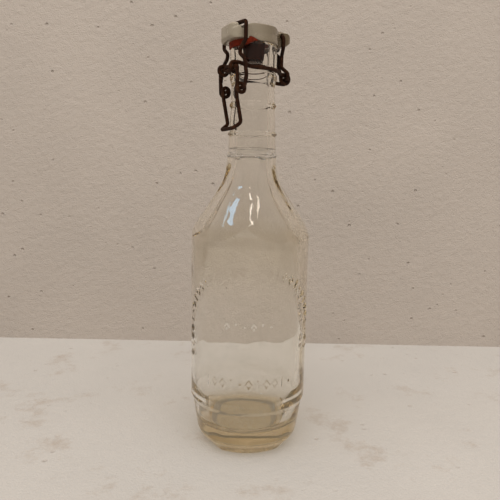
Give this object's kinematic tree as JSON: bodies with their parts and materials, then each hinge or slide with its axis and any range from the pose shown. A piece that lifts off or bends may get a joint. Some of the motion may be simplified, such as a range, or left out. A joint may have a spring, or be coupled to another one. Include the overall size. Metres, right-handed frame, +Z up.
{
  "type": "swing-stopper glass bottle",
  "caption": "Clear glass bottle with a panelled shoulder and ringed neck, closed by a porcelain stopper that a bent-wire bail and lever hold down.",
  "frame": {"origin": "centre of the foot, on the surface that the bottle stands on", "axes": "+Z up along the bottle's axis, +X towards the stopper's hinge, -X towards the lever"},
  "size_m": [0.0684, 0.0684, 0.2403],
  "materials": {
    "bottle_glass": "clear, slightly straw-tinted moulded glass",
    "porcelain": "off-white glaze",
    "red_rubber": "old red rubber",
    "rusty_wire": "dark rusted steel wire"
  },
  "bodies": {
    "root": {"bottle": "bottle_glass", "neck_wire": "rusty_wire"},
    "lever": {"lever": "rusty_wire"},
    "bail": {"front_bail": "rusty_wire"},
    "link": {"hinge_link": "rusty_wire"},
    "stopper": {"stopper": "porcelain", "washer": "red_rubber"}
  },
  "joints": [
    {"name": "lever_swing", "type": "hinge", "parent": "root", "child": "lever", "pos_m": [-0.0156, 0, 0.2155], "axis": [0, 1, 0], "range_deg": [0, 90]},
    {"name": "bail_swing", "type": "hinge", "parent": "lever", "child": "bail", "pos_m": [-0.0128, 0, 0.2045], "axis": [0, 1, 0], "range_deg": [-166, 0]},
    {"name": "link_swing", "type": "hinge", "parent": "root", "child": "link", "pos_m": [0.0206, 0, 0.2136], "axis": [0, 1, 0], "range_deg": [0, 32]},
    {"name": "stopper_tilt", "type": "hinge", "parent": "link", "child": "stopper", "pos_m": [0.0158, 0, 0.2356], "axis": [0, 1, 0], "range_deg": [0, 10]}
  ],
  "couplings": [
    {"joint": "bail_swing", "follows": "lever_swing", "ratio": -1.8444},
    {"joint": "link_swing", "follows": "lever_swing", "ratio": 0.35556},
    {"joint": "stopper_tilt", "follows": "lever_swing", "ratio": 0.11111}
  ]
}
